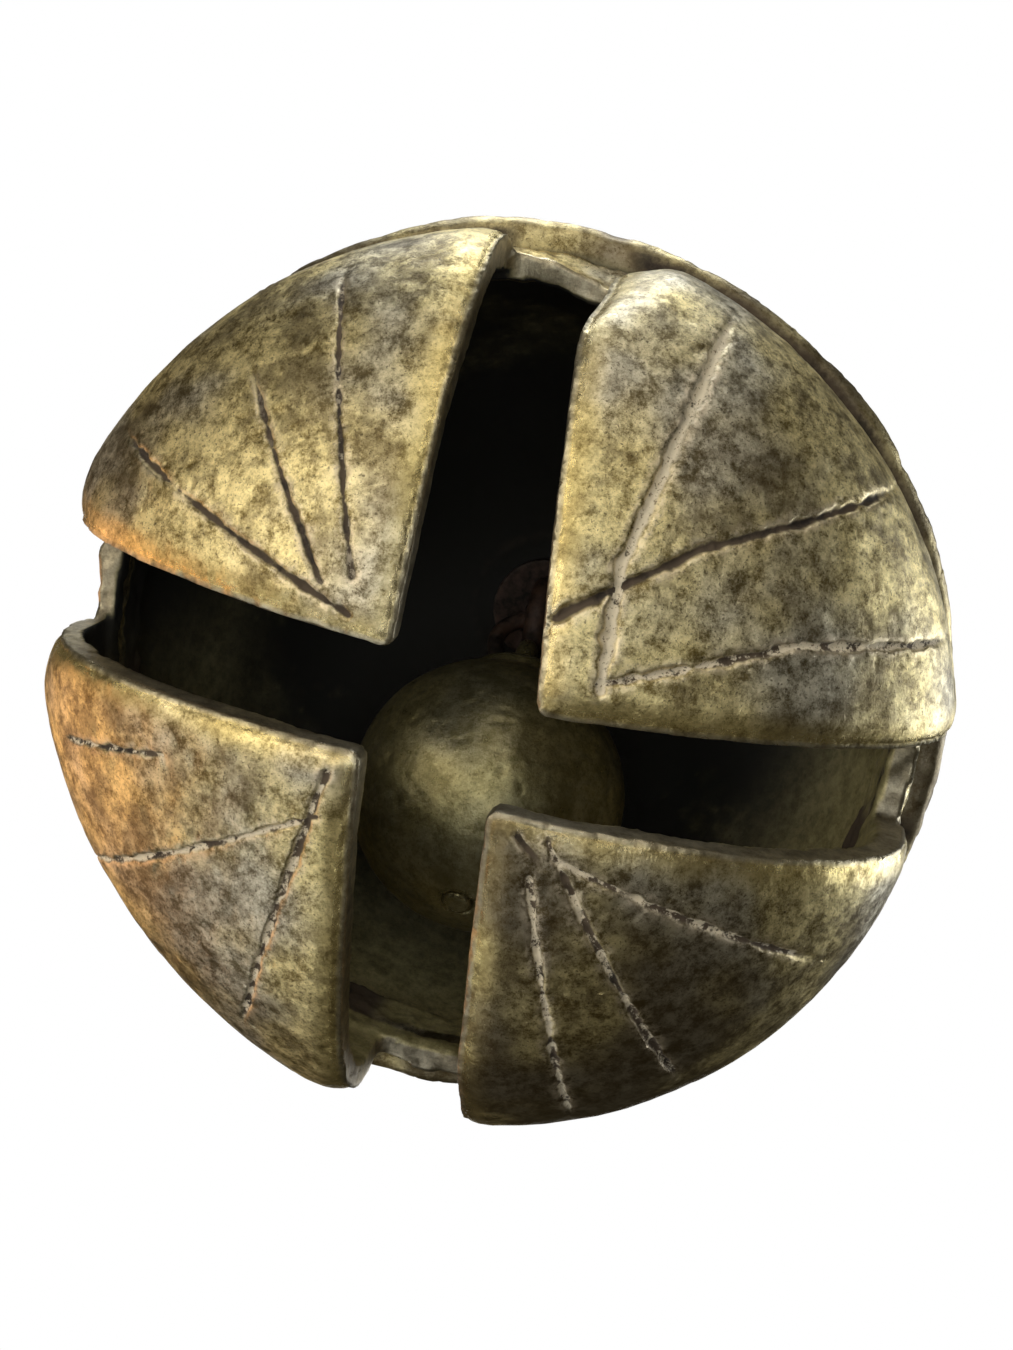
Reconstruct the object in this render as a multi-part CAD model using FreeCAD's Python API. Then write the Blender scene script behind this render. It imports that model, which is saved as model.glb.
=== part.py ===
"""Cast claw bell: a domed body, a ring of four claws, a crown loop and a hanging ball clapper.

Millimetres, +Z up. Every shape is drawn with Z = 0 at the lip, the widest ring of the dome,
and is lowered at the end so that the origin is the centre of the crown loop's eye.
"""
import FreeCAD, Part
import math
import os

# ---- Body: the dome above the lip ----
LIP_RADIUS = 37.5
LIP_HALF_HEIGHT = 1.3
LIP_FLAT_DISTANCE = 35.2        # worn flat on the -X side of the lip, measured from the axis
DOME_RADIUS = 36.6
DOME_RISE = 33.7
DOME_WALL = 2.7
DOME_ROUNDNESS = 2.1            # 2 is an ellipse, more is squarer
BEAD_RADII = (14.5, 25.0)       # two raised rings cast on the dome
BEAD_SECTION = 0.9
SEAT_RADIUS = 9.2               # flat for the collar on top of the crown
PAD_RADIUS = 6.4                # flat for the washer under the crown
PAD_HEIGHT = 31.0
SEAT_HEIGHT = 35.3
CROWN_CORE = 32.8               # a height inside the crown's wall, between pad and seat

# ---- Claw ring below the lip ----
BAND_INNER = 32.7
BAND_OUTER = 35.2
SLOT_END = -4.5                 # the slots between the claws stop here
SPIGOT_TOP = 3.4                # the ring's spigot stands this far up inside the dome
SPIGOT_TAPER = 0.3
CLAW_WALL = 3.2
CLAW_WIDEST = -9.6              # height at which the claws are widest
CLAW_DEPTH = 20.0               # from the widest height down to the closed bottom
CLAW_ROUND_R = 2.3
CLAW_ROUND_Z = 1.75
CLAW_ARM_BULGE = 1.5            # the arm between shoulder and widest height bows out up here
SHOULDER_TOP = -1.9
CLAW_EDGE_FILLET = 0.9

# Each claw is hand-finished, so no two are alike. Both sides are upright planes: the way a
# side runs (degrees from +X) and how far its line passes to the left of the axis.
# "face" is the way the claw looks; a larger "flatness" makes its face flatter; "shoulder" is
# how far its root stands back from its widest radius.
CLAWS = (
    {"face": 227.5, "radius": 36.2, "flatness": 2.4, "shoulder": 1.7,
     "sides": ((270.9, -4.86), (184.0, 6.27))},
    {"face": 311.5, "radius": 36.1, "flatness": 4.0, "shoulder": 2.6,
     "sides": ((264.5, 6.36), (359.3, -3.89))},
    {"face": 135.5, "radius": 35.1, "flatness": 7.0, "shoulder": 1.7,
     "sides": ((181.2, -1.37), (88.0, 5.84))},
    {"face": 45.5, "radius": 35.8, "flatness": 0.2, "shoulder": 1.7,
     "sides": ((2.8, 2.99), (88.6, -3.73))},
)

# ---- Crown fittings ----
SHANK_RADIUS = 1.8              # staple shank, through washer, crown, collar and loop foot
COLLAR_RADIUS = 8.6
COLLAR_HEIGHT = 2.2
FOOT_RADIUS = 7.2
FOOT_NECK = 4.8
FOOT_HOLLOW = (5.4, 1.6)        # radius and height that the foot's curve passes through
FOOT_HEIGHT = 4.0
SHANK_INTO_FOOT = 3.2
EYE_HEIGHT = 48.5               # eye of the crown loop above the lip; the part's origin
EYE_OUTER = 9.6
EYE_BORE = 4.8
EYE_THICKNESS = 5.6
EYE_OUTER_FILLET = 1.8
EYE_BORE_FILLET = 0.9

# ---- Clapper ----
PIVOT_HEIGHT = 24.6             # top bar of the link, where it turns in the staple
SWING = 35.0                    # degrees from straight down, towards +Y
STAPLE_RING = 3.1               # ring centrelines and wire radii
STAPLE_WIRE = 1.1
WASHER_RADIUS = 5.2
WASHER_THICKNESS = 1.2
LINK_RING = 3.4
LINK_WIRE = 0.8
HOOK_GAP = 0.3                  # left between two rings that hang in each other
BALL_EYE_RING = 2.6
BALL_EYE_WIRE = 0.9
BALL_SHANK = 1.3
BALL_RADIUS = 12.2
BALL_DROP = 22.2                # pivot to the centre of the ball
BOSS_RADIUS = 5.3
BOSS_TOP = 13.1                 # from the centre of the ball
BOSS_FILLET = 0.6
RIVET_PROUD = 0.1

AXIS = FreeCAD.Vector(0, 0, 1)
ORIGIN = FreeCAD.Vector(0, 0, 0)
BEYOND = 100.0                  # reach of a cutting shape that has to pass right through


def point(r, z):
    """A point of an upright section, at radius r and height z."""
    return FreeCAD.Vector(r, 0, z)


def unit(degrees):
    """A level unit vector, turned from +X."""
    return FreeCAD.Vector(math.cos(math.radians(degrees)), math.sin(math.radians(degrees)), 0)


def bowl_curve(radius, depth, round_r, round_z, inset, start):
    """Half section of a bowl, from near its middle out to its widest radius, as (r, depth).

    The curve is (r / radius) ** round_r + (z / depth) ** round_z = 1, moved in by inset.
    """
    points = []
    steps = 12
    for step in range(steps + 1):
        turn = math.radians(start + (90.0 - start) * step / steps)
        r = radius * math.sin(turn) ** (2 / round_r)
        z = depth * max(math.cos(turn), 0.0) ** (2 / round_z)
        normal_r = round_r / radius * (r / radius) ** (round_r - 1)
        normal_z = round_z / depth * (z / depth) ** (round_z - 1)
        size = math.hypot(normal_r, normal_z)
        points.append((r - inset * normal_r / size, z - inset * normal_z / size))
    return points


def spline(points):
    """A smooth edge through section points that are given as (r, z)."""
    curve = Part.BSplineCurve()
    curve.interpolate([point(r, z) for r, z in points])
    return curve.toShape()


def line(a, b):
    """A straight edge between two (r, z) points."""
    return Part.LineSegment(point(*a), point(*b)).toShape()


def arc(a, middle, b):
    """An arc through three (r, z) points."""
    return Part.Arc(point(*a), point(*middle), point(*b)).toShape()


def turned(edges):
    """The solid that a closed section makes when it is turned about the Z axis."""
    face = Part.Face(Part.Wire(Part.__sortEdges__(edges)))
    return face.revolve(ORIGIN, AXIS, 360)


def turned_polygon(points):
    """A turned solid with a straight-sided section."""
    closed = list(points) + [points[0]]
    return turned([line(a, b) for a, b in zip(closed, closed[1:])])


def rod(radius, start, end):
    """A round rod from start to end."""
    run = end - start
    return Part.makeCylinder(radius, run.Length, start, run)


def circles(shape, radius):
    """The circular edges of a shape that have this radius."""
    return [edge for edge in shape.Edges
            if isinstance(edge.Curve, Part.Circle) and abs(edge.Curve.Radius - radius) < 0.01]


def make_dome():
    """Domed body with its lip, cast rings and flats for the crown fittings."""
    outer = [(r, LIP_HALF_HEIGHT + z)
             for r, z in bowl_curve(DOME_RADIUS, DOME_RISE, DOME_ROUNDNESS, DOME_ROUNDNESS, 0, 2)]
    inner = [(r, LIP_HALF_HEIGHT + z)
             for r, z in bowl_curve(DOME_RADIUS, DOME_RISE, DOME_ROUNDNESS, DOME_ROUNDNESS,
                                    DOME_WALL, 2)]
    lip_edge = LIP_RADIUS - LIP_HALF_HEIGHT
    inner_radius = DOME_RADIUS - DOME_WALL
    section = [
        spline(outer),
        line(outer[-1], (lip_edge, LIP_HALF_HEIGHT)),
        arc((lip_edge, LIP_HALF_HEIGHT), (LIP_RADIUS, 0), (lip_edge, -LIP_HALF_HEIGHT)),
        line((lip_edge, -LIP_HALF_HEIGHT), (inner_radius, -LIP_HALF_HEIGHT)),
        line((inner_radius, -LIP_HALF_HEIGHT), inner[-1]),
        spline(inner),
        line(inner[0], outer[0]),
    ]
    dome = turned(section)
    dome = dome.fuse(rod(SEAT_RADIUS, point(0, CROWN_CORE), point(0, SEAT_HEIGHT)))
    dome = dome.fuse(rod(PAD_RADIUS, point(0, PAD_HEIGHT), point(0, CROWN_CORE)))
    for radius in BEAD_RADII:
        fraction = 1 - (radius / DOME_RADIUS) ** DOME_ROUNDNESS
        height = LIP_HALF_HEIGHT + DOME_RISE * fraction ** (1 / DOME_ROUNDNESS)
        dome = dome.fuse(Part.makeTorus(radius, BEAD_SECTION, point(0, height)))
    dome = dome.cut(rod(SHANK_RADIUS, point(0, 0), point(0, BEYOND)))
    return dome.cut(lip_flat())


def lip_flat():
    """The block that is worn away on the -X side of the lip."""
    corner = FreeCAD.Vector(-LIP_FLAT_DISTANCE - BEYOND, -BEYOND / 2, SLOT_END)
    return Part.makeBox(BEYOND, BEYOND, 2 * BEYOND, corner)


def make_claw(claw):
    """One claw: a piece of a thick bowl between two upright planes, with softened edges."""
    radius = claw["radius"] + claw["flatness"]
    outer = [(r, CLAW_WIDEST - z)
             for r, z in bowl_curve(radius, CLAW_DEPTH, CLAW_ROUND_R, CLAW_ROUND_Z, 0, 4)]
    inner = [(r, CLAW_WIDEST - z)
             for r, z in bowl_curve(radius, CLAW_DEPTH, CLAW_ROUND_R, CLAW_ROUND_Z, CLAW_WALL, 4)]
    shoulder = (radius - claw["shoulder"], SHOULDER_TOP)
    half_way = (radius - 0.25 * claw["shoulder"],
                0.5 * (CLAW_WIDEST + SHOULDER_TOP) + CLAW_ARM_BULGE)
    inside = (radius - CLAW_WALL, SHOULDER_TOP)
    section = [
        spline(outer),
        arc(outer[-1], half_way, shoulder),
        line(shoulder, inside),
        line(inside, inner[-1]),
        spline(inner),
        line(inner[0], outer[0]),
    ]
    bowl = turned(section)
    bowl.translate(unit(claw["face"]) * -claw["flatness"])

    (way_1, offset_1), (way_2, offset_2) = claw["sides"]
    across = math.sin(math.radians(way_2 - way_1))
    tip = (unit(way_2) * offset_1 - unit(way_1) * offset_2) * (1 / across)
    corners = [tip, tip + unit(way_1) * BEYOND,
               tip + (unit(way_1) + unit(way_2)) * BEYOND, tip + unit(way_2) * BEYOND, tip]
    wedge = Part.Face(Part.makePolygon([corner - AXIS * BEYOND for corner in corners]))
    piece = bowl.common(wedge.extrude(AXIS * 2 * BEYOND))
    edges = [edge for edge in piece.Edges if is_worn_edge(edge, tip, claw)]
    return piece.makeFillet(CLAW_EDGE_FILLET, edges)


def is_worn_edge(edge, tip, claw):
    """True for the outer edges down both sides of a claw and the upright edge at its tip."""
    middle = edge.valueAt(0.5 * (edge.FirstParameter + edge.LastParameter))
    level = FreeCAD.Vector(middle.x, middle.y, 0)
    if (level - tip).Length < 0.01:
        return True
    if isinstance(edge.Curve, Part.Circle):
        return False
    r = (level + unit(claw["face"]) * claw["flatness"]).Length
    depth = max(CLAW_WIDEST - middle.z, 0)
    mid_radius = claw["radius"] + claw["flatness"] - CLAW_WALL / 2
    mid_depth = CLAW_DEPTH - CLAW_WALL / 2
    across_wall = (r / mid_radius) ** CLAW_ROUND_R + (depth / mid_depth) ** CLAW_ROUND_Z
    return across_wall > 1 and edge.Length > 2 * CLAW_WALL


def make_claw_ring():
    """Ring that sits in the dome's rim, with the four claws standing on it."""
    seam = -LIP_HALF_HEIGHT
    spigot = DOME_RADIUS - DOME_WALL
    ring = turned_polygon([
        (BAND_INNER, SLOT_END), (BAND_OUTER, SLOT_END), (BAND_OUTER, seam), (spigot, seam),
        (spigot, LIP_HALF_HEIGHT), (spigot - SPIGOT_TAPER, SPIGOT_TOP),
        (BAND_INNER, SPIGOT_TOP)])
    for claw in CLAWS:
        ring = ring.fuse(make_claw(claw))
    return ring.cut(lip_flat())


def make_collar():
    """Round-edged collar between the dome and the crown loop."""
    top = SEAT_HEIGHT + COLLAR_HEIGHT
    middle = SEAT_HEIGHT + COLLAR_HEIGHT / 2
    edge = COLLAR_RADIUS - COLLAR_HEIGHT / 2
    return turned([
        line((SHANK_RADIUS, SEAT_HEIGHT), (edge, SEAT_HEIGHT)),
        arc((edge, SEAT_HEIGHT), (COLLAR_RADIUS, middle), (edge, top)),
        line((edge, top), (SHANK_RADIUS, top)),
        line((SHANK_RADIUS, top), (SHANK_RADIUS, SEAT_HEIGHT)),
    ])


def make_crown_loop():
    """Loop to hang the bell by: a flat ring on a spreading foot, bored along Y."""
    base = SEAT_HEIGHT + COLLAR_HEIGHT
    half = EYE_THICKNESS / 2
    across = FreeCAD.Vector(0, 1, 0)
    start = FreeCAD.Vector(0, -half, EYE_HEIGHT)
    eye = Part.makeCylinder(EYE_OUTER, EYE_THICKNESS, start, across)
    eye = eye.makeFillet(EYE_OUTER_FILLET, circles(eye, EYE_OUTER))
    eye = eye.cut(Part.makeCylinder(EYE_BORE, EYE_THICKNESS, start, across))
    eye = eye.makeFillet(EYE_BORE_FILLET, circles(eye, EYE_BORE))
    hollow_r, hollow_z = FOOT_HOLLOW
    foot = turned([
        line((0, base), (FOOT_RADIUS, base)),
        arc((FOOT_RADIUS, base), (hollow_r, base + hollow_z), (FOOT_NECK, base + FOOT_HEIGHT)),
        line((FOOT_NECK, base + FOOT_HEIGHT), (0, base + FOOT_HEIGHT)),
        line((0, base + FOOT_HEIGHT), (0, base)),
    ])
    return eye.fuse(foot).cut(Part.makeCylinder(SHANK_RADIUS, SHANK_INTO_FOOT, point(0, base)))


def make_staple():
    """Iron staple: a ring under the crown on a shank that runs up into the crown loop."""
    ring_height = PIVOT_HEIGHT + STAPLE_RING - (LINK_WIRE + STAPLE_WIRE + HOOK_GAP)
    ring = Part.makeTorus(STAPLE_RING, STAPLE_WIRE, point(0, ring_height), FreeCAD.Vector(1, 0, 0))
    bottom = point(0, ring_height + STAPLE_RING)
    top = point(0, SEAT_HEIGHT + COLLAR_HEIGHT + SHANK_INTO_FOOT)
    return ring.fuse(rod(SHANK_RADIUS, bottom, top))


def make_washer():
    """Washer under the crown, round the staple's shank."""
    low = PAD_HEIGHT - WASHER_THICKNESS
    return turned_polygon([(SHANK_RADIUS, low), (WASHER_RADIUS, low),
                           (WASHER_RADIUS, PAD_HEIGHT), (SHANK_RADIUS, PAD_HEIGHT)])


def hanging(distance):
    """The point this far from the pivot down the line that the clapper hangs on."""
    lean = math.radians(SWING)
    return FreeCAD.Vector(0, distance * math.sin(lean), PIVOT_HEIGHT - distance * math.cos(lean))


def make_link():
    """Iron ring that hangs in the staple and carries the ball's eye."""
    lean = math.radians(SWING)
    flat_way = FreeCAD.Vector(0, math.cos(lean), math.sin(lean))
    return Part.makeTorus(LINK_RING, LINK_WIRE, hanging(LINK_RING), flat_way)


def make_ball_eye():
    """Brass eye of the clapper: a ring on a shank that runs through the ball."""
    top_bar = 2 * LINK_RING - (LINK_WIRE + BALL_EYE_WIRE + HOOK_GAP)
    ring_centre = top_bar + BALL_EYE_RING
    ring = Part.makeTorus(BALL_EYE_RING, BALL_EYE_WIRE, hanging(ring_centre),
                          FreeCAD.Vector(1, 0, 0))
    shank = rod(BALL_SHANK, hanging(ring_centre + BALL_EYE_RING),
                hanging(BALL_DROP + BALL_RADIUS + RIVET_PROUD))
    return ring.fuse(shank)


def make_ball(eye):
    """Cast ball with a boss, poured round the eye's shank."""
    ball = Part.makeSphere(BALL_RADIUS, hanging(BALL_DROP))
    boss = rod(BOSS_RADIUS, hanging(BALL_DROP), hanging(BALL_DROP - BOSS_TOP))
    boss = boss.makeFillet(BOSS_FILLET, circles(boss, BOSS_RADIUS))
    return ball.fuse(boss).cut(eye)


def main():
    """Make every piece, check it, lower it to the origin and write it out."""
    eye = make_ball_eye()
    nodes = {
        "dome": make_dome(),
        "claw_ring": make_claw_ring(),
        "crown_collar": make_collar(),
        "crown_loop": make_crown_loop(),
        "clapper_staple": make_staple(),
        "staple_washer": make_washer(),
        "clapper_link": make_link(),
        "clapper_eye": eye,
        "clapper_ball": make_ball(eye),
    }
    os.makedirs("parts", exist_ok=True)
    for name, shape in nodes.items():
        solid = shape.removeSplitter()
        solid.translate(point(0, -EYE_HEIGHT))
        box = solid.BoundBox
        print("%-15s valid %s solids %d volume %.1f z %.1f to %.1f"
              % (name, solid.isValid(), len(solid.Solids), solid.Volume, box.ZMin, box.ZMax))
        solid.exportStep("parts/%s.step" % name)


main()
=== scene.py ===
"""Looks of a cast brass claw bell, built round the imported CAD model.

Every CAD node is replaced by an even, finely meshed copy of itself. The copy is worked like the
real casting: uneven metal, pits, chased lines on the claws, knocked edges. What the metalwork
measures on the way (how deep in a line, how sharp an edge, how closed a corner) is kept on the
mesh, and the patina follows it. Lengths are in metres.
"""
import math

import bmesh
import bpy
import numpy as np
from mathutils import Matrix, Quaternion, Vector, kdtree, noise


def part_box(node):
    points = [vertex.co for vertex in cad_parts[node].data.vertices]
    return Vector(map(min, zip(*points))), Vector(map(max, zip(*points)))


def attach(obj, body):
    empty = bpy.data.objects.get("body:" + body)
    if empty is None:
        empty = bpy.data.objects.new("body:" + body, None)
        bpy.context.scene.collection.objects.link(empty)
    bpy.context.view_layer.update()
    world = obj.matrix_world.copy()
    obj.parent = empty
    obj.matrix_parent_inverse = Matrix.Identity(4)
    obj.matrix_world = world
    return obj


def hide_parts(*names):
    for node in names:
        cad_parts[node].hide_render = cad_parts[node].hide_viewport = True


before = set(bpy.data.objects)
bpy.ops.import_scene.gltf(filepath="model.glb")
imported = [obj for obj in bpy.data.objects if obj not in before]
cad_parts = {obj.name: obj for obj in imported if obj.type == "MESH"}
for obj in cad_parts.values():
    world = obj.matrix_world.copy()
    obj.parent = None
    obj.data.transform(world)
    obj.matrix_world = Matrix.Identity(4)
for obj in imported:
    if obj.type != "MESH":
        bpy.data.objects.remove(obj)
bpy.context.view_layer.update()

MM = 0.001

# ---- Places, from the frame ----
LIP_HALF_HEIGHT = 1.3 * MM
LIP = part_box("dome")[0].z + LIP_HALF_HEIGHT       # height of the widest ring
LIP_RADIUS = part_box("dome")[1].x
CAD_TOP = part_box("dome")[1].z                     # the crown
DOME_RADIUS = LIP_RADIUS - 0.9 * MM
BOWL_CENTRE = Vector((0, 0, LIP - 8 * MM))        # tells the claws' insides from their outsides
FACE_TOP = LIP - 2.5 * MM                         # the claws' outer faces end here
SIDE_TOP = LIP - 3 * MM                           # and their side faces here

# ---- Mesh sizes ----
CLAW_MESH = 0.37 * MM
DOME_MESH = 0.55 * MM
BALL_MESH = 0.35 * MM
FITTING_MESH = 0.35 * MM
IRON_MESH = 0.22 * MM
FACE_LIMIT = 196000              # triangles in one piece

# ---- Claws: the way each one faces (degrees from +X), and its tip in plan ----
CLAW_TIPS = {
    "upper_left": (227.5, (-4.8 * MM, -6.6 * MM)),
    "upper_right": (311.5, (6.0 * MM, -4.0 * MM)),
    "lower_left": (135.5, (-5.8 * MM, 1.25 * MM)),
    "lower_right": (45.5, (3.8 * MM, 3.2 * MM)),
}

# ---- Casting: the sizes of the swells, ripples, pits and knocks in the metal ----
SWELL_SIZE = 9 * MM
RIPPLE_SIZE = 3 * MM
PIT_SIZE = 1.1 * MM
KNOCK_SIZE = 1.7 * MM
NOISE_SHIFT = (17.3, 5.1, 9.7)   # moves the noise on for every seed

# ---- Chased lines: they fan out from each claw's tip like the veins of a leaf ----
# A line is a straight stroke of the chisel, or two where it bends. Its ends and its bend are
# (reach from the tip in mm, degrees round from the way the claw faces). "width" and "depth"
# are in mm; "pale" is how much of the line is filled with pale dust.
LINES = [
    {"claw": "upper_left", "width": 0.5, "depth": 0.28, "pale": 0.25, "points": ((6, 4), (27, 20))},
    {"claw": "upper_left", "width": 0.6, "depth": 0.34, "pale": 0.2, "points": ((7, -15), (23, 1))},
    {"claw": "upper_left", "width": 0.6, "depth": 0.38, "pale": 0.1,
     "points": ((4, -19), (27, -26))},
    {"claw": "upper_right", "width": 1.0, "depth": 0.4, "pale": 1.0,
     "points": ((5, 16), (12, -22), (30, -26))},
    {"claw": "upper_right", "width": 0.75, "depth": 0.45, "pale": 0.1,
     "points": ((7, -42), (16, -7), (29, 9))},
    {"claw": "upper_right", "width": 0.7, "depth": 0.38, "pale": 0.5,
     "points": ((5, 11), (19, 25), (30, 33))},
    {"claw": "lower_left", "width": 0.5, "depth": 0.25, "pale": 0.5,
     "points": ((16, 29), (27, 30))},
    {"claw": "lower_left", "width": 0.55, "depth": 0.3, "pale": 0.6, "points": ((6, -20), (31, 8))},
    {"claw": "lower_left", "width": 0.7, "depth": 0.38, "pale": 0.45,
     "points": ((3, 4), (28, -29))},
    {"claw": "lower_right", "width": 0.7, "depth": 0.36, "pale": 0.6, "points": ((6, 5), (29, 25))},
    {"claw": "lower_right", "width": 0.75, "depth": 0.4, "pale": 0.45,
     "points": ((5, -27), (28, 6))},
    {"claw": "lower_right", "width": 0.7, "depth": 0.34, "pale": 0.5,
     "points": ((6, -18), (27, -25))},
    {"claw": "lower_right", "width": 0.6, "depth": 0.34, "pale": 0.0,
     "points": ((3, -14), (6, -9))},
]
LINE_SLOPE = 0.75                # 1 is a straight-sided V, less is rounder at the bottom
LINE_REACH = 1.3 * MM            # mesh this near to a line is refined
LINE_FADE = 2.5 * MM             # a line's far end runs out over this length
BURR_HEIGHT = 0.12               # ridge beside a line, as a share of its depth
LINE_WANDER = 0.17 * MM          # how far a line strays from its path
WANDER_SIZE = 1.1 * MM
STROKE_LONG = 2.6 * MM           # a line swells and thins over these lengths
STROKE_SHORT = 0.8 * MM

# ---- Rims: the claws' outer faces are rubbed down along their sides ----
RIM_NEAR = 0.7 * MM              # the rim is full this near to a side, and gone at RIM_FAR
RIM_FAR = 2.8 * MM
RIM_DROP = 0.32 * MM
SHELF_RAGGED = 0.25 * MM         # roughness of the slots' closed ends
SHELF_LUMP = 1.6 * MM
SHELF_LOW = LIP - 5.2 * MM
SHELF_HIGH = LIP - 4.2 * MM

# ---- The lower right claw's browner part, with painted shade as it faces away from the light, in degrees from +X ----
SHADED_BROWN_FROM = 8
SHADED_BROWN_FULL = 48
SHADED_BROWN_END = 92

# ---- Corners that were knocked or filed in ----
# Where it is in plan, how far it moves in plan, and how wide the dent is, all in mm.
KNOCKS = [
    {"at": (3.2, -36.3), "move": (1.5, 2.0), "reach": 7.0},
    {"at": (-37.0, 0.5), "move": (1.2, 0.4), "reach": 6.0},
    {"at": (-4.8, 36.0), "move": (0.1, -0.7), "reach": 5.0},
    {"at": (-35.5, -9.0), "move": (0.7, 0.1), "reach": 5.0},
]
KNOCK_TOP = LIP - 1.0 * MM       # the lip itself keeps its place


# ======== Mesh work ========

def read_points(piece):
    """The vertices of a piece, one row each."""
    values = np.empty(len(piece.data.vertices) * 3, np.float32)
    piece.data.vertices.foreach_get("co", values)
    return values.reshape(-1, 3).astype(float)


def read_normals(piece):
    """The vertex normals of a piece, one row each."""
    values = np.empty(len(piece.data.vertices) * 3, np.float32)
    piece.data.vertex_normals.foreach_get("vector", values)
    return values.reshape(-1, 3).astype(float)


def read_edges(piece):
    """The two vertex numbers of every edge."""
    values = np.empty(len(piece.data.edges) * 2, np.int32)
    piece.data.edges.foreach_get("vertices", values)
    return values.reshape(-1, 2)


def write_points(piece, points):
    """Moves the vertices of a piece."""
    piece.data.vertices.foreach_set("co", points.astype(np.float32).ravel())
    piece.data.update()


def keep(piece, name, values):
    """Stores one number a vertex, for the materials to read."""
    layer = piece.data.attributes.new(name, "FLOAT", "POINT")
    layer.data.foreach_set("value", np.clip(values, 0, 1).astype(np.float32))


def spread(values, edges, rounds):
    """Evens values out over neighbouring vertices."""
    count = np.bincount(edges.ravel(), minlength=len(values))
    for _ in range(rounds):
        total = np.bincount(edges[:, 0], values[edges[:, 1]], len(values))
        total += np.bincount(edges[:, 1], values[edges[:, 0]], len(values))
        values = 0.5 * values + 0.5 * total / np.maximum(count, 1)
    return values


def bulge(points, normals, edges):
    """How far each vertex stands out from its neighbours, in edge lengths. Corners are below 0."""
    count = np.maximum(np.bincount(edges.ravel(), minlength=len(points)), 1)
    mean = np.empty_like(points)
    for axis in range(3):
        total = np.bincount(edges[:, 0], points[edges[:, 1], axis], len(points))
        total += np.bincount(edges[:, 1], points[edges[:, 0], axis], len(points))
        mean[:, axis] = total / count
    length = np.linalg.norm(points[edges[:, 0]] - points[edges[:, 1]], axis=1).mean()
    return ((points - mean) * normals).sum(1) / length


def lumps(points, size, seed, octaves=1):
    """Smooth noise, about -1 to 1, in lumps of this size."""
    shift = Vector([part * seed for part in NOISE_SHIFT])
    rows = (points / size).tolist()
    if octaves == 1:
        return np.array([noise.noise(Vector(row) + shift) for row in rows])
    return np.array([noise.fractal(Vector(row) + shift, 1.0, 2.0, octaves) for row in rows])


def step(values, low, high):
    """0 below low, 1 above high, and a smooth rise between."""
    share = np.clip((values - low) / (high - low), 0, 1)
    return share * share * (3 - 2 * share)


def remeshed(node, mesh_size):
    """A copy of a CAD node, as an even mesh of small faces, that stands for the node."""
    piece = bpy.data.objects.new(node + "_cast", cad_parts[node].data.copy())
    bpy.context.scene.collection.objects.link(piece)
    remesh = piece.modifiers.new("even", "REMESH")
    remesh.mode = "VOXEL"
    remesh.voxel_size = mesh_size
    apply_modifiers(piece)
    piece.data.materials.clear()
    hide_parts(node)
    return piece


def apply_modifiers(piece):
    """Turns a piece's modifiers into plain mesh."""
    evaluated = piece.evaluated_get(bpy.context.evaluated_depsgraph_get())
    mesh = bpy.data.meshes.new_from_object(evaluated)
    piece.modifiers.clear()
    piece.data = mesh


def refine(piece, wanted):
    """Halves the faces that hold a wanted vertex."""
    work = bmesh.new()
    work.from_mesh(piece.data)
    work.verts.ensure_lookup_table()
    edges = {edge for number in np.flatnonzero(wanted) for face in work.verts[number].link_faces
             for edge in face.edges}
    order = sorted(edges, key=lambda edge: edge.index)
    bmesh.ops.subdivide_edges(work, edges=order, cuts=1, use_grid_fill=True)
    work.to_mesh(piece.data)
    work.free()


def thinned(piece):
    """Collapses the flattest stretches until the piece is within the limit on triangles."""
    piece.data.calc_loop_triangles()
    faces = len(piece.data.loop_triangles)
    if faces > FACE_LIMIT:
        decimate = piece.modifiers.new("thin", "DECIMATE")
        decimate.ratio = FACE_LIMIT / faces
        apply_modifiers(piece)


def worked(piece, seed, uneven, pitted, knocked):
    """Casts the surface: uneven metal, pits, and knocks along the edges. Depths in metres."""
    points = read_points(piece)
    normals = read_normals(piece)
    edges = read_edges(piece)
    sharp = step(spread(bulge(points, normals, edges), edges, 3), 0.05, 0.2)
    lift = uneven * lumps(points, SWELL_SIZE, seed)
    lift += 0.4 * uneven * lumps(points, RIPPLE_SIZE, seed + 1, 3)
    lift -= pitted * step(lumps(points, PIT_SIZE, seed + 2, 2), 0.2, 0.6)
    lift -= knocked * sharp * step(lumps(points, KNOCK_SIZE, seed + 3, 2), 0.1, 0.5)
    write_points(piece, points + normals * lift[:, None])


def knocked_in(piece):
    """Moves the claws' corners in where they were knocked."""
    points = read_points(piece)
    free = step(KNOCK_TOP - points[:, 2], 0, 2 * MM)
    for knock in KNOCKS:
        place = np.array(knock["at"]) * MM
        away = np.linalg.norm(points[:, :2] - place, axis=1)
        share = (1 - step(away, 0, knock["reach"] * MM)) * free
        points[:, :2] += share[:, None] * np.array(knock["move"]) * MM
    write_points(piece, points)


def measured(piece):
    """Keeps how worn and how dirty each place would be: on edges, and in corners."""
    points = read_points(piece)
    edges = read_edges(piece)
    curve = bulge(points, read_normals(piece), edges)
    keep(piece, "edge", step(spread(curve, edges, 2), 0.03, 0.16))
    keep(piece, "corner", step(-spread(curve, edges, 4), 0.04, 0.16))


def finished(piece, body, material):
    """Gives a piece its body, its finish and smooth shading."""
    piece.data.materials.append(material)
    piece.data.shade_smooth()
    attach(piece, body)


# ======== Claws ========

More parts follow.
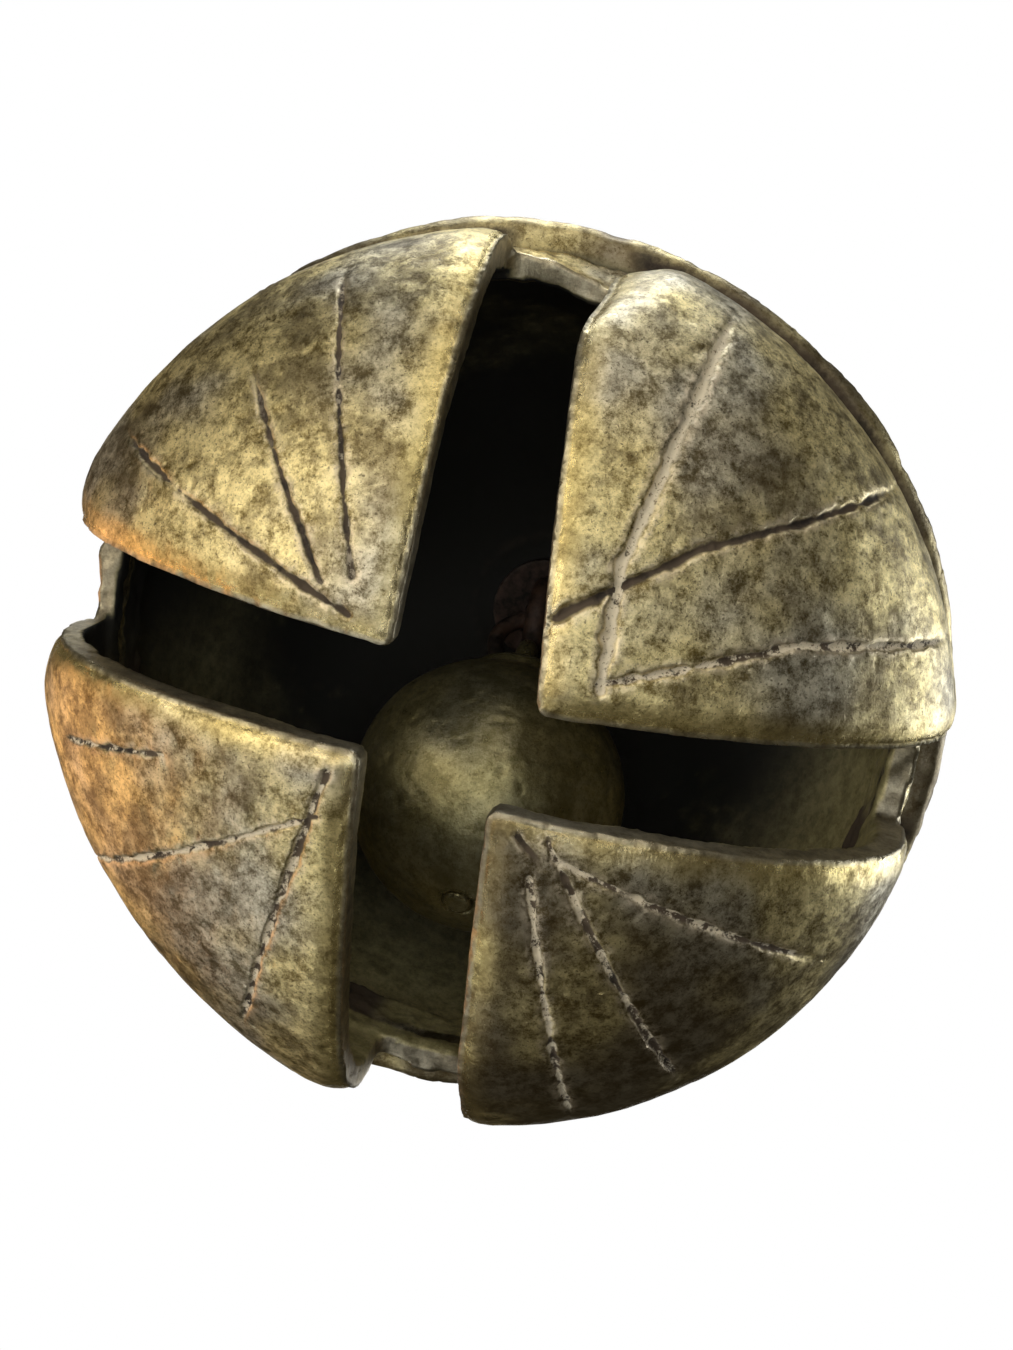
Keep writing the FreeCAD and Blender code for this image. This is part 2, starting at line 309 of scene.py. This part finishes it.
def line_path(line):
    """A chased line's ends, and its bend if it has one, as rows of x, y in plan."""
    face, tip = CLAW_TIPS[line["claw"]]
    rows = []
    for reach, degrees in line["points"]:
        turn = math.radians(face + degrees)
        rows.append((tip[0] + reach * MM * math.cos(turn), tip[1] + reach * MM * math.sin(turn)))
    return np.array(rows)


def along(path, plan):
    """Each plan point's distance from a path, how far along it is, and the path's length."""
    nearest = np.full(len(plan), 1.0)
    place = np.zeros(len(plan))
    run = 0.0
    for start, end in zip(path, path[1:]):
        way = end - start
        length = np.linalg.norm(way)
        share = np.clip((plan - start) @ way / length ** 2, 0, 1)
        away = np.linalg.norm(plan - start - share[:, None] * way, axis=1)
        closer = away < nearest
        nearest = np.where(closer, away, nearest)
        place = np.where(closer, run + share * length, place)
        run += length
    return nearest, place, run


def outside(points, normals):
    """1 on the claws' outer faces, 0 on their sides and inner faces."""
    way = points - np.array(BOWL_CENTRE)
    way /= np.linalg.norm(way, axis=1)[:, None]
    facing = (way * normals).sum(1)
    return step(facing, 0.25, 0.6) * (points[:, 2] < FACE_TOP)


def rims(points, outer, sides):
    """How near each place on the claws' outer faces is to a side face: 1 at the side."""
    numbers = np.flatnonzero(sides)
    tree = kdtree.KDTree(len(numbers))
    for number in numbers:
        tree.insert(points[number], int(number))
    tree.balance()
    rim = np.zeros(len(points))
    for number in np.flatnonzero(outer > 0.1):
        rim[number] = 1 - step(tree.find(points[number])[2], RIM_NEAR, RIM_FAR)
    return rim * step(outer, 0.1, 0.5)


def in_a_slot(points):
    """1 where a slot runs in plan, 0 under the claws."""
    return 1 - step(np.abs(points[:, :2]).min(1), 4 * MM, 6.5 * MM)


def refined_along(piece, paths):
    """Refines the claws' outer faces where the lines will run."""
    points = read_points(piece)
    outer = outside(points, read_normals(piece)) > 0.5
    near = np.zeros(len(points), bool)
    for path in paths:
        near |= (along(path, points[:, :2])[0] < LINE_REACH) & outer
    refine(piece, near)


def chased(piece, points, normals, outer, paths):
    """Cuts the lines. Keeps the lines, the dust that fills them and the pale bloom beside them."""
    depth = np.zeros(len(points))
    groove = np.zeros(len(points))
    dust = np.zeros(len(points))
    halo = np.zeros(len(points))
    wander = LINE_WANDER * lumps(points, WANDER_SIZE, 11, 3)
    for number, (line, path) in enumerate(zip(LINES, paths)):
        away, place, length = along(path, points[:, :2])
        stroke = 1 + 0.5 * lumps(points, STROKE_LONG, 20 + number)
        stroke += 0.4 * lumps(points, STROKE_SHORT, 40 + number)
        half = 0.5 * line["width"] * MM * stroke
        across = np.abs(away + wander) / half
        ends = step(length - place, 0, LINE_FADE) * 0.8 + 0.2
        bed = np.clip(1 - across, 0, 1) ** LINE_SLOPE * outer * ends
        burr = np.exp(-((across - 1.2) / 0.3) ** 2) * outer * ends
        deep = line["depth"] * MM * stroke
        depth = np.maximum(depth, deep * bed) - BURR_HEIGHT * deep * burr * (bed == 0)
        mark = np.clip(1.1 - across, 0, 1) * outer * ends
        dust = np.where(mark > groove, line["pale"], dust)
        bloom = np.exp(-((across - 1.3) / 0.7) ** 2) * outer * ends * (away < MM)
        halo = np.maximum(halo, bloom)
        groove = np.maximum(groove, mark)
    write_points(piece, points - normals * depth[:, None])
    keep(piece, "groove", groove)
    keep(piece, "dust", dust)
    keep(piece, "halo", halo)


def keep_claw_places(piece, points, outer, inside):
    """Keeps where the claws are dirty at the root, bare inside, cut at the side, and brown with
    painted shade.
    """
    root = step(points[:, 2], LIP - 6 * MM, LIP - 3.5 * MM) * (1 - inside)
    keep(piece, "crevice", root * (1 - in_a_slot(points)))
    keep(piece, "inside", np.maximum(inside, points[:, 2] > LIP - 1 * MM))
    keep(piece, "side", (1 - outer - inside) * (points[:, 2] < SIDE_TOP))
    # On the lower right claw, brown is brown tone and painted shade: that claw faces away from the
    # light
    bearing = np.degrees(np.arctan2(points[:, 1], points[:, 0]))
    keep(piece, "brown", step(bearing, SHADED_BROWN_FROM, SHADED_BROWN_FULL) * (bearing < SHADED_BROWN_END))


def make_claws(material):
    """The ring of four claws with their chased lines."""
    piece = remeshed("claw_ring", CLAW_MESH)
    paths = [line_path(line) for line in LINES]
    refined_along(piece, paths)
    knocked_in(piece)
    worked(piece, 3, 0.14 * MM, 0.05 * MM, 0.25 * MM)

    points = read_points(piece)
    normals = read_normals(piece)
    outer = outside(points, normals)
    inside = outside(points, -normals)
    sides = (outer < 0.3) & (inside < 0.3) & (points[:, 2] < SIDE_TOP)
    rim = rims(points, outer, sides)
    keep(piece, "rim", rim)
    points -= normals * (RIM_DROP * rim ** 2)[:, None]
    shelf = step(points[:, 2], SHELF_LOW, SHELF_HIGH)
    points += normals * (SHELF_RAGGED * shelf * lumps(points, SHELF_LUMP, 7, 3))[:, None]
    chased(piece, points, normals, outer, paths)
    keep_claw_places(piece, points, outer, inside)
    measured(piece)
    thinned(piece)
    finished(piece, "bell", material)


# ======== Other pieces ========

def keep_dome_places(piece):
    """Keeps where the dome is inside, darkened there with painted shade, and where dirt sits
    between its lip and the claws.
    """
    points = read_points(piece)
    reach = np.linalg.norm(points[:, :2], axis=1)
    rise = (points[:, 2] - LIP) / (CAD_TOP - LIP)
    within = np.hypot(reach / DOME_RADIUS, np.maximum(rise, 0))
    keep(piece, "inside", 1 - step(within, 0.945, 0.965))
    under = step(LIP - points[:, 2], 0, 0.5 * LIP_HALF_HEIGHT)
    beside = 1 - step(reach, LIP_RADIUS - 1.1 * MM, LIP_RADIUS - 0.4 * MM)
    keep(piece, "crevice", under * beside * (1 - in_a_slot(points)))
    keep(piece, "brown", 1 - step(points[:, 2], LIP + 0.5 * MM, LIP + 3 * MM))


def make_plain(node, body, slot, material, mesh_size, seed, uneven, pitted, knocked):
    """A piece with no more on it than its casting or forging."""
    piece = remeshed(node, mesh_size)
    worked(piece, seed, uneven * MM, pitted * MM, knocked * MM)
    if node == "dome":
        keep_dome_places(piece)
    measured(piece)
    finished(piece, body, material)


# ======== Materials ========

class Nodes:
    """A short way to write a node material."""

    def __init__(self, name):
        self.material = bpy.data.materials.new(name)
        self.material.use_nodes = True
        self.tree = self.material.node_tree
        self.shader = self.tree.nodes["Principled BSDF"]
        self.place = self.tree.nodes.new("ShaderNodeTexCoord").outputs["Object"]

    def put(self, socket, value):
        """Links a value, or sets it where it is a plain number or colour."""
        if isinstance(value, bpy.types.NodeSocket):
            self.tree.links.new(value, socket)
        elif isinstance(value, tuple) and len(value) == 3:
            socket.default_value = (*value, 1.0)
        else:
            socket.default_value = value

    def attribute(self, name):
        """What was kept on the mesh under this name. It is 0 on a piece that has none."""
        node = self.tree.nodes.new("ShaderNodeAttribute")
        node.attribute_name = name
        return node.outputs["Fac"]

    def noise(self, size, detail=2.0, roughness=0.5, seed=0.0):
        """Noise in lumps of this size, in metres."""
        node = self.tree.nodes.new("ShaderNodeTexNoise")
        node.noise_dimensions = "4D"
        self.put(node.inputs["Vector"], self.place)
        self.put(node.inputs["W"], seed)
        self.put(node.inputs["Scale"], 1.0 / size)
        self.put(node.inputs["Detail"], detail)
        self.put(node.inputs["Roughness"], roughness)
        return node.outputs["Fac"]

    def math(self, operation, first, second=0.0):
        """One operation on two values. The result is held between 0 and 1."""
        node = self.tree.nodes.new("ShaderNodeMath")
        node.operation = operation
        node.use_clamp = True
        self.put(node.inputs[0], first)
        self.put(node.inputs[1], second)
        return node.outputs[0]

    def rise(self, value, low, high):
        """0 below low, 1 above high."""
        node = self.tree.nodes.new("ShaderNodeMapRange")
        node.interpolation_type = "SMOOTHSTEP"
        self.put(node.inputs["Value"], value)
        self.put(node.inputs["From Min"], low)
        self.put(node.inputs["From Max"], high)
        return node.outputs["Result"]

    def mix(self, share, first, second):
        """A colour between two."""
        node = self.tree.nodes.new("ShaderNodeMix")
        node.data_type = "RGBA"
        self.put(node.inputs[0], share)
        self.put(node.inputs[6], first)
        self.put(node.inputs[7], second)
        return node.outputs[2]

    def between(self, share, first, second):
        """A number between two."""
        node = self.tree.nodes.new("ShaderNodeMix")
        node.data_type = "FLOAT"
        self.put(node.inputs[0], share)
        self.put(node.inputs[2], first)
        self.put(node.inputs[3], second)
        return node.outputs[0]

    def height(self, low, high):
        """0 at a low place and 1 at a high one."""
        node = self.tree.nodes.new("ShaderNodeSeparateXYZ")
        self.put(node.inputs[0], self.place)
        return self.rise(node.outputs["Z"], low, high)

    def towards(self, degrees, low, high):
        """Rises from 0 to 1 between two distances from the axis, measured one level way."""
        node = self.tree.nodes.new("ShaderNodeVectorMath")
        node.operation = "DOT_PRODUCT"
        self.put(node.inputs[0], self.place)
        way = math.radians(degrees)
        node.inputs[1].default_value = (math.cos(way), math.sin(way), 0)
        return self.rise(node.outputs["Value"], low, high)

    def bump(self, height, distance, strength, under=None):
        """A bumped normal."""
        node = self.tree.nodes.new("ShaderNodeBump")
        self.put(node.inputs["Height"], height)
        self.put(node.inputs["Distance"], distance)
        self.put(node.inputs["Strength"], strength)
        if under is not None:
            self.put(node.inputs["Normal"], under)
        return node.outputs["Normal"]


# ---- Colours, linear ----
GOLD_DARK, GOLD_PALE = (0.15, 0.10, 0.024), (0.86, 0.70, 0.33)
GREY_DARK, GREY_PALE = (0.11, 0.083, 0.04), (0.68, 0.60, 0.43)
SIDE_DARK, SIDE_PALE = (0.17, 0.14, 0.09), (0.50, 0.43, 0.30)
INSIDE_DARK, INSIDE_PALE = (0.17, 0.14, 0.05), (0.66, 0.56, 0.27)
DUST_DARK, DUST_PALE = (0.20, 0.14, 0.08), (0.66, 0.56, 0.39)
SOIL_DARK, SOIL = (0.022, 0.015, 0.009), (0.085, 0.058, 0.034)
STAIN = (0.11, 0.078, 0.036)
SPECK = (0.055, 0.036, 0.015)
RIM_GOLD = (0.66, 0.49, 0.16)
RUBBED = (0.84, 0.70, 0.40)
# Dark brown: brown tone on the dome's lip; brown tone and painted shade on the lower right claw
BROWN_AND_SHADE = (0.085, 0.052, 0.016)
# Painted shade, near black, deep inside the bell
INSIDE_SHADE = (0.016, 0.014, 0.010)
CHALK = (0.68, 0.55, 0.38)
DULL = (0.27, 0.235, 0.10)
IRON_DARK, IRON_PALE = (0.012, 0.009, 0.007), (0.05, 0.036, 0.026)
IRON_EDGE = (0.09, 0.07, 0.055)
RUST = (0.06, 0.026, 0.012)
FLOOR_COLOUR = (0.78, 0.77, 0.75)

# ---- Painted shade inside the bell: it deepens with height, and towards one side ----
INSIDE_SHADE_LOW, INSIDE_SHADE_HIGH = LIP + 6 * MM, LIP + 24 * MM
INSIDE_SHADE_HEADING = 225               # degrees from +X
INSIDE_SHADE_NEAR, INSIDE_SHADE_FAR = 2 * MM, 24 * MM


def brass_material(name, dull, metal, shine):
    """Old cast brass: golden where it is rubbed, olive and grey-brown where it is not."""
    n = Nodes(name)
    mottle = n.noise(1.5 * MM, 8.0, 0.84, 2.0)
    grain = n.noise(0.24 * MM, 3.0, 0.6, 3.0)
    patch = n.rise(n.noise(6 * MM, 7.0, 0.72, 4.0), 0.48, 0.62)
    cloud = n.rise(n.noise(11 * MM, 3.0, 0.5, 1.0), 0.42, 0.62)
    edge = n.attribute("edge")
    groove = n.attribute("groove")

    golden = n.mix(n.rise(mottle, 0.37, 0.60), GOLD_DARK, GOLD_PALE)
    grey = n.mix(n.rise(mottle, 0.38, 0.62), GREY_DARK, GREY_PALE)
    colour = n.mix(cloud, golden, grey)
    colour = n.mix(n.math("MULTIPLY", patch, 0.65), colour, STAIN)
    speck = n.rise(grain, 0.56, 0.66)
    colour = n.mix(n.math("MULTIPLY", speck, 0.7), colour, SPECK)

    rim = n.math("MULTIPLY", n.attribute("rim"), n.rise(mottle, 0.3, 0.55))
    colour = n.mix(n.math("MULTIPLY", rim, 0.5), colour, RIM_GOLD)
    rubbed = n.math("MULTIPLY", edge, n.rise(mottle, 0.2, 0.6))
    colour = n.mix(n.math("MULTIPLY", rubbed, 0.5), colour, RUBBED)
    # Browner and darker: brown tone, and on the lower right claw painted shade, as it faces away
    # from the light
    brown = n.math("MULTIPLY", n.attribute("brown"), n.rise(cloud, -0.4, 0.6))
    colour = n.mix(n.math("MULTIPLY", brown, 0.7), colour, BROWN_AND_SHADE)
    colour = n.mix(n.math("MULTIPLY", n.attribute("side"), 0.8), colour,
                   n.mix(n.rise(mottle, 0.3, 0.7), SIDE_DARK, SIDE_PALE))
    colour = n.mix(n.attribute("inside"), colour,
                   n.mix(n.rise(mottle, 0.3, 0.7), INSIDE_DARK, INSIDE_PALE))
    # Painted shade inside the bell: darker with height and towards one side, also made rough and
    # dull
    inside_shade = n.math("MAXIMUM", n.height(INSIDE_SHADE_LOW, INSIDE_SHADE_HIGH),
                  n.towards(INSIDE_SHADE_HEADING, INSIDE_SHADE_NEAR, INSIDE_SHADE_FAR))
    inside_shade = n.math("MULTIPLY", n.attribute("inside"), inside_shade)
    colour = n.mix(inside_shade, colour, INSIDE_SHADE)

    dirt = n.math("MAXIMUM", n.math("MULTIPLY", n.attribute("corner"), 0.8),
                  n.rise(groove, 0.1, 0.65))
    dirt = n.math("MAXIMUM", dirt, n.attribute("crevice"))
    share = n.math("ADD", n.math("MULTIPLY", n.attribute("dust"), 0.35), 0.4)
    gap = n.rise(n.noise(1.5 * MM, 5.0, 0.7, 8.0), 0.4, 0.7)
    lie = n.math("SUBTRACT", share, n.math("MULTIPLY", gap, 0.3))
    soil = n.mix(patch, SOIL, SOIL_DARK)
    pale = n.mix(speck, DUST_PALE, DUST_DARK)
    soil = n.mix(n.rise(lie, 0.45, 0.53), soil, pale)
    chalk = n.math("MULTIPLY", n.attribute("halo"), n.rise(mottle, 0.44, 0.56))
    colour = n.mix(n.math("MULTIPLY", chalk, 0.6), colour, CHALK)
    colour = n.mix(dirt, colour, soil)
    if dull > 0:
        colour = n.mix(dull, colour, DULL)

    rough = n.between(mottle, shine - 0.08, shine + 0.2)
    rough = n.between(n.math("MAXIMUM", rubbed, rim), rough, shine - 0.1)
    rough = n.between(n.math("MAXIMUM", dirt, inside_shade), rough, 0.9)
    n.put(n.shader.inputs["Base Color"], colour)
    bare = n.between(n.attribute("inside"), metal, 0.3)
    n.put(n.shader.inputs["Metallic"], n.between(n.math("MAXIMUM", dirt, inside_shade), bare, 0.0))
    n.put(n.shader.inputs["Roughness"], rough)
    coarse = n.bump(mottle, 0.11 * MM, 0.6)
    n.put(n.shader.inputs["Normal"], n.bump(grain, 0.05 * MM, 0.6, coarse))
    return n.material


def iron_material():
    """Forged iron, brown with old rust."""
    n = Nodes("old_iron")
    flake = n.noise(0.9 * MM, 5.0, 0.65, 1.0)
    bloom = n.rise(n.noise(2.5 * MM, 4.0, 0.6, 2.0), 0.42, 0.62)
    colour = n.mix(n.rise(flake, 0.35, 0.65), IRON_DARK, IRON_PALE)
    colour = n.mix(bloom, colour, RUST)
    colour = n.mix(n.attribute("edge"), colour, IRON_EDGE)
    n.put(n.shader.inputs["Base Color"], colour)
    n.put(n.shader.inputs["Metallic"], n.between(bloom, 0.8, 0.1))
    n.put(n.shader.inputs["Roughness"], n.between(flake, 0.45, 0.85))
    n.put(n.shader.inputs["Normal"], n.bump(flake, 0.12 * MM, 0.8))
    return n.material


# ======== Stage ========

CAMERA_TILT = 14.4               # degrees off the bell's axis, looking up into the mouth
CAMERA_HEADING = 114.7           # the level way that the camera leans towards, from +X
CAMERA_ROLL = -35.2
CAMERA_DISTANCE = 169.1 * MM     # to the lip plane
CAMERA_AIM = Vector((0.5 * MM, 0.1 * MM, LIP))
CAMERA_LENS = 53.3
FLOOR = -0.62

# Soft round studio lights, all at one distance. They are placed from the camera's own view of
# the bell: how far right, down and towards the camera. Then come size, power and colour.
LIGHT_DISTANCE = 400 * MM
DAYLIGHT = (0.85, 0.92, 1.0)
WHITE = (1.0, 0.98, 0.92)
WARM = (1.0, 0.6, 0.35)
LIGHTS = [
    ("key", (-0.7, -0.2, 0.7), 0.3, 0.8, WHITE),
    ("top", (0.1, -0.7, 0.7), 0.3, 0.4, WHITE),
    ("front", (0.0, 0.0, 1.0), 0.2, 0.35, DAYLIGHT),
    ("low_fill", (-0.6, 0.7, 0.3), 0.2, 0.3, DAYLIGHT),
    ("top_edge", (0.1, -0.9, -0.3), 0.3, 1.3, DAYLIGHT),
    ("right_edge", (0.9, 0.1, -0.3), 0.3, 1.2, DAYLIGHT),
    ("left_edge", (-0.9, 0.2, -0.3), 0.3, 0.5, WARM),
    ("crown", (0.0, 0.0, -1.0), 0.4, 0.7, WHITE),
]


def camera_axes():
    """The camera's turn, whose axes are image right, image up and backwards, and its way in."""
    tilt = math.radians(CAMERA_TILT)
    heading = math.radians(CAMERA_HEADING)
    forward = Vector((math.sin(tilt) * math.cos(heading), math.sin(tilt) * math.sin(heading),
                      math.cos(tilt)))
    turn = Quaternion(forward, math.radians(CAMERA_ROLL)) @ forward.to_track_quat("-Z", "Y")
    return turn, forward


def make_camera():
    """The camera under the bell."""
    turn, forward = camera_axes()
    camera = bpy.data.objects.new("camera", bpy.data.cameras.new("camera"))
    camera.data.sensor_width = 36
    camera.data.lens = CAMERA_LENS
    camera.data.clip_start = 0.01
    camera.rotation_mode = "QUATERNION"
    camera.rotation_quaternion = turn
    camera.location = CAMERA_AIM - forward * CAMERA_DISTANCE
    bpy.context.scene.collection.objects.link(camera)
    bpy.context.scene.camera = camera


def make_floor():
    """A plain pale floor, below the camera."""
    bpy.ops.mesh.primitive_plane_add(size=6, location=(0, 0, FLOOR))
    floor = bpy.context.object
    floor.name = "floor"
    n = Nodes("pale_floor")
    n.put(n.shader.inputs["Base Color"], FLOOR_COLOUR)
    n.put(n.shader.inputs["Roughness"], 0.9)
    n.put(n.shader.inputs["Emission Color"], FLOOR_COLOUR)
    n.put(n.shader.inputs["Emission Strength"], 0.7)
    floor.data.materials.append(n.material)
    floor.visible_glossy = False
    floor.visible_diffuse = False


def make_light(name, place, size, power, colour):
    """A soft light that faces the bell. Its place is right, down and towards the camera."""
    turn = camera_axes()[0]
    right, down, towards = place
    way = turn @ Vector((right, -down, towards)).normalized()
    light = bpy.data.objects.new(name, bpy.data.lights.new(name, "AREA"))
    light.data.shape = "DISK"
    light.data.size = size
    light.data.energy = power
    light.data.color = colour
    light.location = Vector((0, 0, LIP)) + way * LIGHT_DISTANCE
    light.rotation_mode = "QUATERNION"
    light.rotation_quaternion = way.to_track_quat("Z", "Y")
    light.visible_camera = False
    bpy.context.scene.collection.objects.link(light)


def make_world():
    """White to the camera; dim and warm to the metal."""
    world = bpy.data.worlds.new("studio")
    world.use_nodes = True
    tree = world.node_tree
    seen = tree.nodes["Background"]
    seen.inputs["Color"].default_value = (1, 1, 1, 1)
    room = tree.nodes.new("ShaderNodeBackground")
    room.inputs["Color"].default_value = (0.034, 0.029, 0.016, 1)
    ray = tree.nodes.new("ShaderNodeLightPath")
    mix = tree.nodes.new("ShaderNodeMixShader")
    tree.links.new(ray.outputs["Is Camera Ray"], mix.inputs[0])
    tree.links.new(room.outputs[0], mix.inputs[1])
    tree.links.new(seen.outputs[0], mix.inputs[2])
    tree.links.new(mix.outputs[0], tree.nodes["World Output"].inputs["Surface"])
    bpy.context.scene.world = world


# ======== The scene ========

brass = brass_material("old_brass", 0, 0.85, 0.36)
ball_brass = brass_material("dull_brass", 0.62, 0.85, 0.25)
iron = iron_material()

PLAIN = [  # node, body, slot, material, mesh size, seed, then uneven, pitted and knocked in mm
    ("dome", "bell", "brass", brass, DOME_MESH, 41, 0.3, 0.08, 0.4),
    ("crown_collar", "bell", "brass", brass, FITTING_MESH, 51, 0.15, 0.05, 0.1),
    ("crown_loop", "bell", "brass", brass, FITTING_MESH, 61, 0.2, 0.06, 0.15),
    ("clapper_ball", "clapper", "ball_brass", ball_brass, BALL_MESH, 71, 0.12, 0.08, 0.1),
    ("clapper_eye", "clapper", "ball_brass", ball_brass, IRON_MESH, 81, 0.05, 0.04, 0.05),
    ("clapper_link", "link", "iron", iron, IRON_MESH, 91, 0.05, 0.04, 0.05),
    ("clapper_staple", "bell", "iron", iron, IRON_MESH, 101, 0.05, 0.04, 0.05),
    ("staple_washer", "bell", "iron", iron, IRON_MESH, 111, 0.05, 0.04, 0.08),
]
make_claws(brass)
for row in PLAIN:
    make_plain(*row)

make_camera()
make_floor()
for light in LIGHTS:
    make_light(*light)
make_world()
bpy.context.scene.view_settings.view_transform = "Standard"
